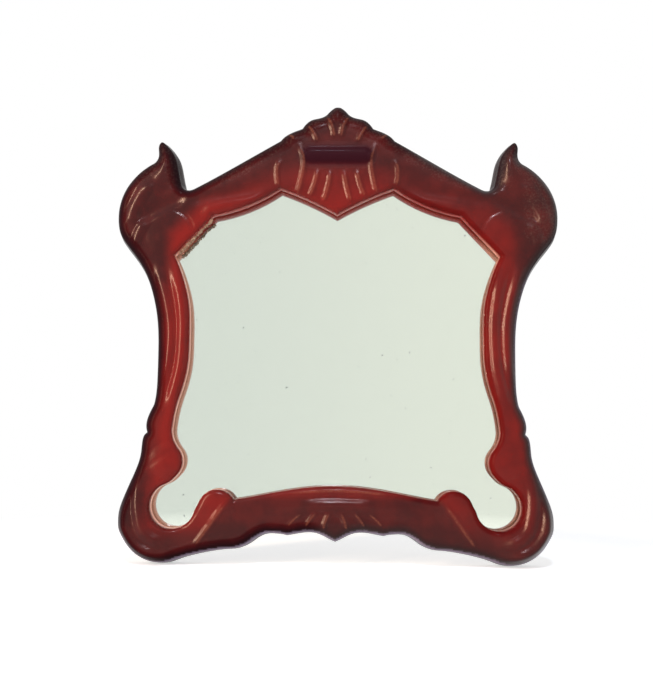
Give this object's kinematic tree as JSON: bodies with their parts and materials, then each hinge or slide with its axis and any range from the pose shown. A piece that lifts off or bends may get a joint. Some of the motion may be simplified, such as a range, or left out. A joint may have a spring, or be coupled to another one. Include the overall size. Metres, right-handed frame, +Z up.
{
  "type": "dolls house mirror",
  "caption": "Framed mirror for a dolls' house dressing table: one-piece scrolled moulding with two finials, an arched sight opening and a mirror plate glued in from behind",
  "frame": {"origin": "under the middle of the frame, halfway between its rear face and the front of the crest bar, at the height of the lowest points of the two scrolled feet", "axes": "+Z up the mirror, +X to the right as seen from the glass side, +Y towards the back; the glass faces -Y"},
  "size_m": [0.075, 0.0056, 0.0774],
  "materials": {
    "red_moulding": "glossy translucent dark red moulded polystyrene with rubbed gilding left in its grooves",
    "clear_plate": "polished clear plastic sheet with a slight green cast",
    "bright_coat": "bright metallised coat seen through the plate",
    "lacquer": "flat grey protective lacquer",
    "glue": "aged brown cement"
  },
  "bodies": {
    "root": {"frame": "red_moulding", "mirror_plate": "clear_plate", "mirror_coating": "bright_coat", "backing_lacquer": "lacquer", "glue_dabs": "glue", "glue_bead": "glue"}
  },
  "joints": []
}
